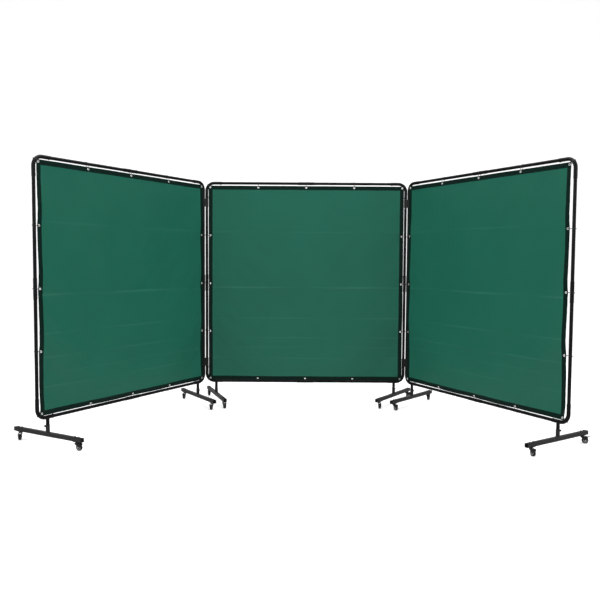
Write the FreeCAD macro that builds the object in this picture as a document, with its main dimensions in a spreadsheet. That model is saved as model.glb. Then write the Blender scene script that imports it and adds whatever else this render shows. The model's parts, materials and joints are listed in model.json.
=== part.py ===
import FreeCAD, Part
import math
import os
from types import SimpleNamespace

import Sketcher
from FreeCAD import Placement, Rotation, Vector

# Three-panel welding screen on castered feet.
#
# World frame: +Z up, the floor is Z = 0 and the origin is the middle of the footprint.
# The middle panel stands across X and the two wings swing towards -Y, the welder's side.
# Panel frame: the panel stands in XZ, its front is -Y and its middle is X = 0.
# Foot frame: the beam lies along X, and the clamp screw points to +X.
# Caster frame: the swivel axis is Z, and the wheel trails towards +X.

SIZES = {
    "curtain_side": (1829, "side of the square curtain"),
    "curtain_thickness": (2, "curtain with its hem, as one flat solid"),
    "curtain_gap": (6.5, "gap from a straight tube to the curtain's edge"),
    "curtain_forward": (16.4, "curtain's middle plane, in front of the tubes' axes"),
    "tube_diameter": (25, "straight tubes of the frame"),
    "tube_wall": (1.2, "wall of the straight tubes"),
    "sleeve_diameter": (28.4, "elbows and couplers, outside"),
    "slip_fit": (0.05, "radial play of a sleeve over its tube"),
    "bend_radius": (70, "bend of an elbow, at the tube's axis"),
    "elbow_reach": (143, "from the corner of the axes to the end of an elbow's leg"),
    "tube_insertion": (50, "length of straight tube inside an elbow"),
    "coupler_length": (150, "sleeve at the middle of each side"),
    "joint_gap": (0.5, "between the two half tubes inside a coupler"),
    "rail_height": (202.5, "axis of the bottom rail above the floor"),
    "grommet_inset": (16, "grommet's middle from the curtain's edge"),
    "grommet_bore": (10, "hole through a grommet"),
    "grommet_flange": (17, "outside diameter of a grommet"),
    "grommet_metal": (0.6, "sheet that the grommets are pressed from"),
    "tie_thickness": (1.2, "tie band"),
    "tie_width": (4, "tie band"),
    "fixing_shank": (4.6, "elbow fixing screws"),
    "fixing_head": (9, "elbow fixing screws"),
    "fixing_margin": (12, "fixing screw from the end of an elbow's leg"),
    "fixing_depth": (3, "fixing screw below the sleeve's surface"),
    "fixing_rise": (3.1, "fixing screw's head above the sleeve's surface"),
    "post_diameter": (25.4, "posts under the frame"),
    "post_inset": (88.5, "post from the frame's side, axis to axis"),
    "post_bottom": (96, "lower end of a post above the floor"),
    "socket_diameter": (29, "socket that a post stands in"),
    "socket_height": (53, "socket above the beam"),
    "clamp_height": (40.5, "clamp screw above the beam"),
    "clamp_thread": (8, "clamp screw"),
    "clamp_knob": (15, "knob of the clamp screw"),
    "knob_start": (8.5, "knob from the socket's surface"),
    "knob_length": (9.5, "knob along its screw"),
    "clamp_nut": (13, "welded nut of the clamp screw, across its flats"),
    "clamp_nut_reach": (5, "welded nut beyond the socket's surface"),
    "beam_side": (30, "square tube of a foot"),
    "beam_wall": (1.5, "wall of that square tube"),
    "beam_corner": (3, "outside corner radius of that square tube"),
    "beam_length": (700, "foot from end to end, with its caps"),
    "cap_flange": (3, "visible thickness of an end cap"),
    "cap_plug": (14, "length of an end cap inside the beam"),
    "caster_height": (62, "underside of the beam above the floor"),
    "caster_inset": (55, "swivel axis from the end of the beam"),
    "caster_trail": (21, "wheel's axle behind the swivel axis"),
    "wheel_diameter": (48, "over the tread"),
    "wheel_width": (18, "tread"),
    "hub_width": (20, "hub between the fork's legs"),
    "axle_diameter": (6, "caster axle"),
    "plate_length": (58, "caster's top plate, along the beam"),
    "plate_thickness": (2.5, "caster's top plate and the fork's crown"),
    "fork_wall": (2, "legs of the fork"),
    "running_gap": (0.3, "between faces that slide past each other"),
    "crown_clearance": (5, "top of the fork's crown above the wheel"),
    "kingpin_diameter": (8, "swivel pin"),
    "race_top": (24, "bearing race under the caster's plate"),
    "race_bottom": (19, "bearing race over the fork's crown"),
    "rivet_diameter": (13, "kingpin's riveted head under the crown"),
    "rivet_height": (1.4, "kingpin's riveted head under the crown"),
    "bolt_spacing": (36, "between the two bolts of a caster"),
    "bolt_diameter": (6, "caster bolts"),
    "bolt_head": (3.2, "height of a caster bolt's head"),
    "bolt_rise": (8, "caster bolt above the beam"),
    "hex_across": (10, "nuts and bolt heads of the casters, across their flats"),
    "nut_height": (5, "caster nut"),
    "axle_end": (3, "height of the axle's head and of its nut"),
    "fork_front": (13, "crown in front of the swivel axis"),
    "fork_lobe": (9, "fork leg round the axle"),
    "rim_share": (0.34, "rim's radius as a share of the wheel's diameter"),
    "pedal_back": (15.5, "pedal's pivot behind the axle"),
    "pedal_rise": (25, "pedal's pivot above the axle"),
    "pedal_barrel": (8, "barrel round the pedal's pin"),
    "pedal_pin": (4, "pin of the brake pedal"),
    "pedal_width": (17, "brake pedal"),
    "hinge_spacing": (33, "between the axes of the two tubes in a clip"),
    "clip_length": (75, "clip along the tubes"),
    "clip_wall": (2.2, "clip"),
    "clip_mouth": (17, "slot that a tube is pushed in through"),
    "clip_margin": (1.5, "clip from the end of an elbow"),
    "left_wing_angle": (59, "left wing from flat, degrees"),
    "right_wing_angle": (61.5, "right wing from flat, degrees"),
}

# Foot: the panel that it carries, the side of that panel, the direction of its clamp
# screw, and the trailing directions of the casters at the screw's end and the far end.
FEET = {
    "left_outer": ("left", -1, 151.0, -80, -25),
    "left_inner": ("left", 1, -56.0, -100, -100),
    "centre_left": ("centre", -1, 110.2, 110, -65),
    "centre_right": ("centre", 1, 56.2, 20, -85),
    "right_inner": ("right", -1, 49.0, 60, -62),
    "right_outer": ("right", 1, 33.7, -10, -75),
}

# Side of the pedal's tread plate, back and up from its pivot: under side, then top.
PEDAL_PLATE = [(-1, 2), (4, 2), (13, 4), (22, 6.5), (26, 5.5),
               (26.4, 7.5), (22, 8.6), (13, 6), (4, 4), (-1, 4)]

X_AXIS = Vector(1, 0, 0)
Y_AXIS = Vector(0, 1, 0)
Z_AXIS = Vector(0, 0, 1)
OVERCUT = 5          # how far a cutting tool runs past what it cuts
CHAMFER = 1.5        # broken edges of turned parts
WELD_LAP = 1         # how far welded and riveted parts run into each other

doc = FreeCAD.newDocument("welding_screen")


class Size:
    """A number that remembers the spreadsheet expression it comes from."""

    def __init__(self, value, text):
        self.value = value
        self.text = text

    def __add__(self, other):
        other = as_size(other)
        return Size(self.value + other.value, f"({self.text} + {other.text})")

    def __sub__(self, other):
        other = as_size(other)
        return Size(self.value - other.value, f"({self.text} - {other.text})")

    def __mul__(self, other):
        other = as_size(other)
        return Size(self.value * other.value, f"({self.text} * {other.text})")

    def __truediv__(self, other):
        other = as_size(other)
        return Size(self.value / other.value, f"({self.text} / {other.text})")

    def __neg__(self):
        return Size(-self.value, f"(-1 * {self.text})")

    def __radd__(self, other):
        return as_size(other) + self

    def __rsub__(self, other):
        return as_size(other) - self

    def __rmul__(self, other):
        return as_size(other) * self


def as_size(number):
    return number if isinstance(number, Size) else Size(float(number), f"({float(number)})")


def fill_sheet():
    """Write the driving dimensions to the spreadsheet and hand them back by name."""
    sheet = doc.addObject("Spreadsheet::Sheet", "Sizes")
    for row, (alias, (number, meaning)) in enumerate(SIZES.items(), start=1):
        sheet.set(f"A{row}", meaning)
        sheet.set(f"B{row}", str(number))
        sheet.setAlias(f"B{row}", alias)
    doc.recompute()
    return SimpleNamespace(**{alias: Size(float(sheet.get(alias)), f"Sizes.{alias}") for alias in SIZES})


# ---------------------------------------------------------------- building blocks


def bind(item, name, number):
    """Give a property a plain number, or bind it to the spreadsheet."""
    if isinstance(number, Size):
        item.setExpression(name, number.text)
    elif not name.startswith("."):
        setattr(item, name, number)


def locate(item, base, axis=Z_AXIS):
    """Place a primitive: its base point, each coordinate bound where it is a Size."""
    point = Vector(*[as_size(coordinate).value for coordinate in base])
    item.Placement = Placement(point, Rotation(Z_AXIS, axis))
    for letter, coordinate in zip("xyz", base):
        bind(item, f".Placement.Base.{letter}", coordinate)
    return item


def cylinder(name, diameter, length, base=(0, 0, 0), axis=Z_AXIS):
    item = doc.addObject("Part::Cylinder", name)
    bind(item, "Radius", diameter / 2)
    bind(item, "Height", length)
    return locate(item, base, axis)


def box(name, lengths, base):
    item = doc.addObject("Part::Box", name)
    for side, length in zip(("Length", "Width", "Height"), lengths):
        bind(item, side, length)
    return locate(item, base)


def prism(name, across_flats, length, base, axis=Z_AXIS):
    """A hexagonal bar, such as a nut or a bolt's head."""
    item = doc.addObject("Part::Prism", name)
    item.Polygon = 6
    bind(item, "Circumradius", across_flats / math.sqrt(3))
    bind(item, "Height", length)
    return locate(item, base, axis)


def cut(name, base, *tools):
    item = doc.addObject("Part::Cut", name)
    item.Base = base
    item.Tool = tools[0] if len(tools) == 1 else fuse(name + "_tools", *tools)
    return item


def fuse(name, *items):
    item = doc.addObject("Part::MultiFuse", name)
    item.Shapes = list(items)
    return item


def group(name, *items):
    """Several pieces together, each still a solid of its own."""
    item = doc.addObject("Part::Compound", name)
    item.Links = list(items)
    return item


def copy_at(name, master, placement):
    """Another copy of a piece, somewhere else."""
    item = group(name, master)
    item.Placement = placement
    return item


def origin_plane(body, role):
    return next(item for item in body.Origin.OriginFeatures if item.Role == role)


def attached_sketch(body, name, plane):
    sketch = body.newObject("Sketcher::SketchObject", name)
    sketch.AttachmentSupport = (origin_plane(body, plane), [""])
    sketch.MapMode = "FlatFace"
    return sketch


def pin_point(sketch, edge, end, x, y):
    """Hold one end of a sketched edge at x, y, both bound to the spreadsheet."""
    for kind, axis, number in (("DistanceX", -2, x), ("DistanceY", -1, y)):
        if as_size(number).value == 0:
            sketch.addConstraint(Sketcher.Constraint("PointOnObject", edge, end, axis))
            continue
        index = sketch.addConstraint(Sketcher.Constraint(kind, -1, 1, edge, end, as_size(number).value))
        if isinstance(number, Size):
            sketch.setExpression(f"Constraints[{index}]", number.text)


def outline(body, name, plane, points):
    """A closed sketch of straight edges through the given points."""
    sketch = attached_sketch(body, name, plane)
    corners = [Vector(as_size(x).value, as_size(y).value, 0) for x, y in points]
    count = len(corners)
    for k in range(count):
        sketch.addGeometry(Part.LineSegment(corners[k], corners[(k + 1) % count]), False)
    for k in range(count):
        sketch.addConstraint(Sketcher.Constraint("Coincident", k, 2, (k + 1) % count, 1))
    for k, (x, y) in enumerate(points):
        pin_point(sketch, k, 1, x, y)
    return sketch


def turned(name, points):
    """A turned or pressed round piece about Z: points are radius and height."""
    body = doc.addObject("PartDesign::Body", name)
    sketch = outline(body, name + "_section", "XZ_Plane", points)
    turn = body.newObject("PartDesign::Revolution", name + "_turn")
    turn.Profile = sketch
    turn.ReferenceAxis = (sketch, ["V_Axis"])
    turn.Angle = 360
    return body


def padded(name, plane, points, thickness):
    """A plate of the given outline, as thick on one side of the plane as on the other."""
    body = doc.addObject("PartDesign::Body", name)
    sketch = outline(body, name + "_outline", plane, points)
    pad = body.newObject("PartDesign::Pad", name + "_pad")
    pad.Profile = sketch
    pad.Midplane = True
    bind(pad, "Length", thickness)
    return body


def round_edges(name, body, radius, wanted):
    """Fillet the edges of a body's last feature for which wanted(edge) holds."""
    doc.recompute()
    feature = body.Tip
    names = [f"Edge{k}" for k, edge in enumerate(feature.Shape.Edges, start=1) if wanted(edge)]
    fillet = body.newObject("PartDesign::Fillet", name)
    fillet.Base = (feature, names)
    bind(fillet, "Radius", radius)
    return body


def runs_along(edge, axis):
    tangent = edge.tangentAt(edge.FirstParameter)
    return edge.Curve.TypeId == "Part::GeomLine" and abs(tangent.dot(axis)) > 0.999


def sleeve(name, outside, bore, length, base=(0, 0, 0), axis=Z_AXIS):
    outer = cylinder(name + "_outside", outside, length, base, axis)
    inner = cylinder(name + "_bore", bore, length, base, axis)
    return cut(name, outer, inner)


# ---------------------------------------------------------------- panel


def make_elbow(size, name, with_post):
    """A bent corner sleeve: legs along +X and -Z from the corner of the tube axes."""
    body = doc.addObject("PartDesign::Body", name + "_bend")
    reach, bend = size.elbow_reach, size.bend_radius
    spine = attached_sketch(body, name + "_axis", "XZ_Plane")
    across, down = Vector(reach.value, 0, 0), Vector(0, -reach.value, 0)
    start, end = Vector(bend.value, 0, 0), Vector(0, -bend.value, 0)
    centre = Vector(bend.value, -bend.value, 0)
    circle = Part.Circle(centre, Vector(0, 0, 1), bend.value)
    spine.addGeometry(Part.LineSegment(down, end), False)
    spine.addGeometry(Part.ArcOfCircle(circle, math.pi / 2, math.pi), False)
    spine.addGeometry(Part.LineSegment(start, across), False)
    pin_point(spine, 0, 1, 0, -reach)
    pin_point(spine, 2, 2, reach, 0)
    spine.addConstraint(Sketcher.Constraint("Vertical", 0))
    spine.addConstraint(Sketcher.Constraint("Horizontal", 2))
    spine.addConstraint(Sketcher.Constraint("Tangent", 0, 2, 1, 2))
    spine.addConstraint(Sketcher.Constraint("Tangent", 1, 1, 2, 1))
    index = spine.addConstraint(Sketcher.Constraint("Radius", 1, bend.value))
    spine.setExpression(f"Constraints[{index}]", bend.text)

    ring = attached_sketch(body, name + "_ring", "XY_Plane")
    bind(ring, ".AttachmentOffset.Base.z", -reach)
    bore = size.tube_diameter + 2 * size.slip_fit
    for diameter in (size.sleeve_diameter, bore):
        edge = ring.addGeometry(Part.Circle(Vector(0, 0, 0), Vector(0, 0, 1), diameter.value / 2), False)
        ring.addConstraint(Sketcher.Constraint("Coincident", edge, 3, -1, 1))
        index = ring.addConstraint(Sketcher.Constraint("Diameter", edge, diameter.value))
        ring.setExpression(f"Constraints[{index}]", diameter.text)

    doc.recompute()
    pipe = body.newObject("PartDesign::AdditivePipe", name + "_pipe")
    pipe.Profile = ring
    pipe.Spine = (spine, [f"Edge{k}" for k in (1, 2, 3)])

    fixing = reach - size.fixing_margin
    hole = size.fixing_shank + 2 * size.slip_fit
    holes = [
        cylinder(name + "_hole_across", hole, size.sleeve_diameter, (fixing, 0, 0), -Z_AXIS),
        cylinder(name + "_hole_down", hole, size.sleeve_diameter, (0, 0, -fixing), X_AXIS),
    ]
    if not with_post:
        return cut(name, body, *holes)

    length = size.rail_height - size.post_bottom
    place = (size.post_inset, 0, 0)
    post = cylinder(name + "_post", size.post_diameter, length, place)
    inside = size.post_diameter - 2 * size.beam_wall
    post_bore = cylinder(name + "_post_bore", inside, length + OVERCUT, place)
    rail_bore = cylinder(name + "_rail_bore", bore, reach - size.bend_radius,
                         (size.bend_radius, 0, 0), X_AXIS)
    return cut(name, fuse(name + "_welded", body, post), post_bore, rail_bore, *holes)


def make_fixing_screw(size):
    """A pan-head screw with its head towards +Z and the sleeve's surface at Z = 0."""
    shank, head = size.fixing_shank / 2, size.fixing_head / 2
    tip, top = -size.fixing_depth, size.fixing_rise
    seat, shoulder = size.running_gap, top - CHAMFER
    return turned("fixing_screw", [(0, tip), (shank, tip), (shank, seat), (head, seat),
                                   (head, shoulder), (head / 2, top), (0, top)])


def place_elbows(size, half, top):
    """The four corner sleeves of a frame, each with its two fixing screws."""
    upper = make_elbow(size, "upper_elbow", with_post=False)
    lower = make_elbow(size, "lower_elbow", with_post=True)
    screw = make_fixing_screw(size)
    fixing = size.elbow_reach.value - size.fixing_margin.value
    surface = size.sleeve_diameter.value / 2
    under = Placement(Vector(fixing, 0, -surface), Rotation(Z_AXIS, -Z_AXIS))
    beside = Placement(Vector(surface, 0, -fixing), Rotation(Z_AXIS, X_AXIS))
    corner = group("elbow_screws", copy_at("screw_across", screw, under), copy_at("screw_down", screw, beside))
    flip = Rotation(Z_AXIS, 180)
    upside_down = Rotation(X_AXIS, 180)
    corners = {
        "top_left": (upper, Vector(-half, 0, top), Rotation()),
        "top_right": (upper, Vector(half, 0, top), flip),
        "bottom_left": (lower, Vector(-half, 0, size.rail_height.value), upside_down),
        "bottom_right": (lower, Vector(half, 0, size.rail_height.value), flip.multiply(upside_down)),
    }
    pieces = []
    for name, (elbow, point, turn) in corners.items():
        pieces.append(copy_at(name + "_elbow", elbow, Placement(point, turn)))
        pieces.append(copy_at(name + "_screws", corner, Placement(point, turn)))
    return group("panel_elbows", *pieces)


def place_tubes(size, half, top):
    """Eight half tubes and four couplers, two halves and a coupler to each side."""
    frame_side = size.curtain_side + 2 * size.curtain_gap + size.tube_diameter
    length = frame_side / 2 - size.elbow_reach + size.tube_insertion - size.joint_gap / 2
    plain = sleeve("plain_tube", size.tube_diameter, size.tube_diameter - 2 * size.tube_wall, length)
    fixing = frame_side / 2 - size.joint_gap / 2 - size.elbow_reach + size.fixing_margin
    hole = cylinder("tube_hole", size.fixing_shank + 2 * size.slip_fit, size.tube_diameter,
                    (0, 0, fixing), X_AXIS)
    tube = cut("half_tube", plain, hole)
    bore = size.tube_diameter + 2 * size.slip_fit
    coupler = sleeve("coupler", size.sleeve_diameter, bore, size.coupler_length,
                     (0, 0, -size.coupler_length / 2))

    bottom = size.rail_height.value
    middle = (top + bottom) / 2
    sides = {
        "left": (Vector(-half, 0, middle), Z_AXIS, X_AXIS),
        "right": (Vector(half, 0, middle), Z_AXIS, -X_AXIS),
        "top": (Vector(0, 0, top), X_AXIS, -Z_AXIS),
        "bottom": (Vector(0, 0, bottom), X_AXIS, Z_AXIS),
    }
    pieces = []
    for name, (point, along, inward) in sides.items():
        for end, direction in (("far", along), ("near", -along)):
            turn = Rotation(inward, Vector(), direction, "ZXY")
            start = point + direction * (size.joint_gap.value / 2)
            pieces.append(copy_at(f"{name}_{end}_tube", tube, Placement(start, turn)))
        pieces.append(copy_at(name + "_coupler", coupler, Placement(point, Rotation(Z_AXIS, along))))
    return group("panel_tubes", *pieces)


def grommet_points(size):
    """Grommet places on the curtain, from its middle, in units of a quarter of their spread."""
    spread = size.curtain_side - 2 * size.grommet_inset
    steps = range(-2, 3)
    return {(i, k): (spread * (i / 4), spread * (k / 4))
            for i in steps for k in steps if 2 in (abs(i), abs(k))}


def make_curtain(size, middle):
    """The curtain as one flat sheet, in front of the tubes, with its grommet holes."""
    side, thick = size.curtain_side, size.curtain_thickness
    sheet = box("curtain_sheet", (side, thick, side),
                (-side / 2, -size.curtain_forward - thick / 2, middle - side / 2))
    hole = size.grommet_bore + 2 * size.grommet_metal + 2 * size.slip_fit
    holes = [cylinder(f"curtain_hole_{i + 2}_{k + 2}", hole, thick + 2 * OVERCUT,
                      (x, -size.curtain_forward - thick / 2 - OVERCUT, middle + z), Y_AXIS)
             for (i, k), (x, z) in grommet_points(size).items()]
    return cut("panel_curtain", sheet, *holes)


def place_grommets(size, middle):
    """A pressed ring through each hole, its flanges on both faces of the curtain."""
    bore, barrel = size.grommet_bore / 2, size.grommet_bore / 2 + size.grommet_metal
    flange, face = size.grommet_flange / 2, size.curtain_thickness / 2
    metal = size.grommet_metal
    grommet = turned("grommet", [(bore, -face - metal), (flange, -face - metal), (flange, -face),
                                 (barrel, -face), (barrel, face), (flange, face),
                                 (flange, face + metal), (bore, face + metal)])
    turn = Rotation(Z_AXIS, Y_AXIS)
    return group("panel_grommets", *[
        copy_at(f"grommet_{i + 2}_{k + 2}", grommet,
                Placement(Vector(x.value, -size.curtain_forward.value, middle.value + z.value), turn))
        for (i, k), (x, z) in grommet_points(size).items()])


def tie_band(size, name, tube_radius, edge, hole):
    """A band round a tube and through a grommet.

    Section axes: X runs from the tube's axis towards the grommet and Y to the front.
    The band goes round the tube, over the curtain's edge, and back through the hole.
    """
    half = size.tie_thickness.value / 2
    play = size.running_gap.value
    wrap = tube_radius + play + half
    clear = size.curtain_thickness.value / 2 + size.grommet_metal.value + play + half
    front = size.curtain_forward.value + clear
    back = size.curtain_forward.value - clear
    turn_radius = (front - back) / 2
    last = hole + size.grommet_bore.value / 2 - 2 * half - turn_radius
    over = Vector(edge - 2 * half, front, 0)
    under = Vector(last, back, 0)

    def touch(point, side):
        angle = math.atan2(point.y, point.x) + side * math.acos(wrap / point.Length)
        return Vector(wrap * math.cos(angle), wrap * math.sin(angle), 0)

    leave, arrive = touch(over, 1), touch(under, -1)
    path = Part.Wire([
        Part.LineSegment(leave, over).toShape(),
        Part.LineSegment(over, Vector(last, front, 0)).toShape(),
        Part.Arc(Vector(last, front, 0), Vector(last + turn_radius, (front + back) / 2, 0), under).toShape(),
        Part.LineSegment(under, arrive).toShape(),
        Part.Arc(arrive, Vector(-wrap, 0, 0), leave).toShape(),
    ])
    section = Part.Face([path.makeOffset2D(half), path.makeOffset2D(-half)], "Part::FaceMakerBullseye")
    width = size.tie_width.value
    item = doc.addObject("Part::Feature", name)
    item.Shape = section.extrude(Vector(0, 0, width)).translated(Vector(0, 0, -width / 2))
    return item


def place_ties(size, half, middle):
    """A tie at each grommet: round the tube, round the coupler, or round an elbow."""
    tube, sleeve_radius = size.tube_diameter.value / 2, size.sleeve_diameter.value / 2
    edge = size.curtain_gap.value + tube
    inset = edge + size.grommet_inset.value
    past_bend = (math.sqrt(2) - 1) * size.bend_radius.value
    ties = {
        "tube": tie_band(size, "tube_tie", tube, edge, inset),
        "coupler": tie_band(size, "coupler_tie", sleeve_radius, edge, inset),
        "corner": tie_band(size, "corner_tie", sleeve_radius,
                           edge * math.sqrt(2) - past_bend, inset * math.sqrt(2) - past_bend),
    }
    pieces = []
    for i, k in grommet_points(size):
        corner = abs(i) == 2 and abs(k) == 2
        kind = "corner" if corner else "coupler" if 0 in (i, k) else "tube"
        across, up = (i / 4 if corner or abs(i) == 2 else 0), (k / 4 if corner or abs(k) == 2 else 0)
        inward = Vector(-across, 0, -up).normalize()
        quarter = (half - inset) / 2
        place = Vector(half * i / 2 if across else quarter * i, 0,
                       middle + (half * k / 2 if up else quarter * k))
        if corner:
            place = place + inward * past_bend
        turn = Rotation(inward, -Y_AXIS, Vector(), "XYZ")
        pieces.append(copy_at(f"tie_{i + 2}_{k + 2}", ties[kind], Placement(place, turn)))
    return group("panel_ties", *pieces)


# ---------------------------------------------------------------- foot


def make_foot(size):
    """A square beam with the post's socket and the clamp screw's nut welded on."""
    side, wall, low = size.beam_side, size.beam_wall, size.caster_height
    length = size.beam_length - 2 * size.cap_flange
    beam = padded("beam", "YZ_Plane", [(-side / 2, low), (side / 2, low), (side / 2, low + side),
                                       (-side / 2, low + side)], length)
    round_edges("beam_corners", beam, size.beam_corner, lambda edge: runs_along(edge, X_AXIS))
    inner = box("beam_inside", (length, side - 2 * wall, side - 2 * wall),
                (-length / 2, wall - side / 2, low + wall))
    hollow = cut("hollow_beam", beam, inner)

    top = low + side
    clamp = top + size.clamp_height
    reach = size.socket_diameter / 2 + size.clamp_nut_reach
    socket = cylinder("socket", size.socket_diameter, size.socket_height + WELD_LAP, (0, 0, top - WELD_LAP))
    nut = prism("clamp_nut", size.clamp_nut, reach, (0, 0, clamp), X_AXIS)
    bore = cylinder("socket_bore", size.post_diameter + 2 * size.slip_fit, size.socket_height + OVERCUT,
                    (0, 0, top))
    thread = cylinder("clamp_hole", size.clamp_thread + 2 * size.slip_fit, reach + OVERCUT,
                      (0, 0, clamp), X_AXIS)
    holes = [cylinder(f"bolt_hole_{k}", size.bolt_diameter + 4 * size.slip_fit, side + 2 * OVERCUT,
                      (x, 0, low - OVERCUT)) for k, x in enumerate(bolt_places(size))]
    welded = fuse("welded_foot", hollow, socket, nut)
    return cut("foot_weldment", welded, bore, thread, *holes)


def caster_places(size):
    reach = size.beam_length / 2 - size.caster_inset
    return reach, -reach


def bolt_places(size):
    return [x + side * size.bolt_spacing / 2 for x in caster_places(size) for side in (-1, 1)]


def make_end_cap(size):
    """A plastic cap: a flange over the beam's end and a plug inside it."""
    side, low = size.beam_side, size.caster_height
    plug_side = side - 2 * size.beam_wall - 4 * size.slip_fit
    flange = padded("cap_flange_body", "YZ_Plane", [(-side / 2, low), (side / 2, low), (side / 2, low + side),
                                               (-side / 2, low + side)], size.cap_flange)
    round_edges("cap_corners", flange, size.beam_corner, lambda edge: runs_along(edge, X_AXIS))
    plug = box("cap_plug_body", (size.cap_plug, plug_side, plug_side),
               (-size.cap_plug, -plug_side / 2, low + side / 2 - plug_side / 2))
    return fuse("end_cap", flange, plug)


def make_clamp_screw(size):
    """The screw that grips the post: a threaded shank and a round plastic knob."""
    thread, knob = size.clamp_thread / 2, size.clamp_knob / 2
    tip = size.post_diameter / 2 + size.running_gap
    start = size.socket_diameter / 2 + size.knob_start
    end = start + size.knob_length
    return turned("clamp_screw", [(0, tip), (thread - CHAMFER, tip), (thread, tip + CHAMFER), (thread, start),
                                  (knob - CHAMFER, start), (knob, start + CHAMFER), (knob, end - CHAMFER),
                                  (knob - CHAMFER, end), (0, end)])


def make_caster_top(size):
    """Top plate, bearing race, kingpin and its riveted head, fixed to the beam."""
    top, wall = size.caster_height, size.plate_thickness
    crown = crown_top(size)
    plate = box("caster_plate", (size.plate_length, size.beam_side, wall),
                (-size.plate_length / 2, -size.beam_side / 2, top - wall))
    bolt = size.bolt_diameter + 4 * size.slip_fit
    holes = [cylinder(f"plate_hole_{k}", bolt, wall + 2 * OVERCUT,
                      (side * size.bolt_spacing / 2, 0, top - wall - OVERCUT))
             for k, side in enumerate((-1, 1))]
    pin, upper, lower = size.kingpin_diameter / 2, size.race_top / 2, size.race_bottom / 2
    over, under, rivet = crown + size.running_gap, crown - wall - size.running_gap, size.rivet_diameter / 2
    race = turned("kingpin", [(0, top - WELD_LAP), (upper, top - WELD_LAP), (upper, top - wall),
                              (lower, over), (pin, over), (pin, under), (rivet, under),
                              (rivet - WELD_LAP, under - size.rivet_height), (0, under - size.rivet_height)])
    return fuse("caster_top", cut("drilled_plate", plate, *holes), race)


def make_bolt(size):
    """A hex bolt from below the caster's plate to above the nut on the beam."""
    seat = size.caster_height - size.plate_thickness
    top = size.caster_height + size.beam_side + size.bolt_rise
    head = prism("bolt_head", size.hex_across, size.bolt_head, (0, 0, seat - size.bolt_head))
    shank = cylinder("bolt_shank", size.bolt_diameter, top - seat + WELD_LAP, (0, 0, seat - WELD_LAP))
    return fuse("caster_bolt", head, shank)


def make_nut(size):
    base = size.caster_height + size.beam_side
    bar = prism("nut_bar", size.hex_across, size.nut_height, (0, 0, base))
    bore = cylinder("nut_bore", size.bolt_diameter + 2 * size.slip_fit, size.nut_height + 2 * OVERCUT,
                    (0, 0, base - OVERCUT))
    return cut("caster_nut", bar, bore)


def place_fittings(size):
    """Everything that is fastened to a foot: caps, clamp screw, caster tops and bolts."""
    cap, top = make_end_cap(size), make_caster_top(size)
    screw, bolt, nut = make_clamp_screw(size), make_bolt(size), make_nut(size)
    end = size.beam_length.value / 2 - size.cap_flange.value
    half_flange = size.cap_flange.value / 2
    clamp = size.caster_height.value + size.beam_side.value + size.clamp_height.value
    pieces = [
        copy_at("near_cap", cap, Placement(Vector(end + half_flange, 0, 0), Rotation())),
        copy_at("far_cap", cap, Placement(Vector(-end - half_flange, 0, 0), Rotation(Z_AXIS, 180))),
        copy_at("foot_clamp_screw", screw, Placement(Vector(0, 0, clamp), Rotation(Z_AXIS, X_AXIS))),
    ]
    for k, x in enumerate(caster_places(size)):
        pieces.append(copy_at(f"foot_caster_top_{k}", top, Placement(Vector(x.value, 0, 0), Rotation())))
    for k, x in enumerate(bolt_places(size)):
        pieces.append(copy_at(f"foot_bolt_{k}", bolt, Placement(Vector(x.value, 0, 0), Rotation())))
        pieces.append(copy_at(f"foot_nut_{k}", nut, Placement(Vector(x.value, 0, 0), Rotation())))
    return group("foot_fittings", *pieces)


# ---------------------------------------------------------------- caster


def crown_top(size):
    return size.wheel_diameter + size.crown_clearance


def pedal_pivot(size):
    """Pivot of the brake pedal, above and behind the wheel, in the caster's frame."""
    return size.caster_trail + size.pedal_back, size.wheel_diameter / 2 + size.pedal_rise


def make_fork(size):
    """Stamped fork: a crown over the wheel and two legs down to the axle."""
    trail, axle = size.caster_trail, size.wheel_diameter / 2
    crown, front, lobe = crown_top(size), size.fork_front, size.fork_lobe
    inside = size.hub_width + 1
    outside = inside + 2 * size.fork_wall
    pivot_x, pivot_z = pedal_pivot(size)
    eye = size.pedal_pin
    round_off = lobe * 2 / 3
    side = padded("fork_side", "XZ_Plane", [
        (-front, crown), (-front, crown - eye), (trail - lobe, axle + lobe / 3),
        (trail - round_off, axle - round_off), (trail, axle - lobe), (trail + round_off, axle - round_off),
        (trail + lobe, axle), (pivot_x + eye, pivot_z - eye), (pivot_x + eye, pivot_z + eye / 2),
        (pivot_x + eye / 2, crown)], outside)
    length, back_start = 2 * size.wheel_diameter, trail - eye
    throat = box("fork_throat", (length, inside, crown - size.plate_thickness),
                 (-length / 2, -inside / 2, 0))
    back = box("fork_back_gap", (length, inside, crown + OVERCUT), (back_start, -inside / 2, 0))
    pin_hole = cylinder("kingpin_hole", size.kingpin_diameter + 2 * size.slip_fit, crown + OVERCUT)
    through = outside + 2 * OVERCUT
    axle_hole = cylinder("axle_hole", size.axle_diameter + 2 * size.slip_fit, through,
                         (trail, -through / 2, axle), Y_AXIS)
    pedal_hole = cylinder("pedal_hole", size.pedal_pin + 2 * size.slip_fit, through,
                          (pivot_x, -through / 2, pivot_z), Y_AXIS)
    fork = cut("fork", side, throat, back, pin_hole, axle_hole, pedal_hole)

    end = size.axle_end
    rod = cylinder("axle_rod", size.axle_diameter, outside + 4, (trail, -outside / 2 - 2, axle), Y_AXIS)
    head = prism("axle_head", size.hex_across, end, (trail, outside / 2, axle), Y_AXIS)
    nut = prism("axle_nut", size.hex_across, end, (trail, -outside / 2 - end, axle), Y_AXIS)
    return group("caster_fork", fork, fuse("axle", rod, head, nut))


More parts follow.
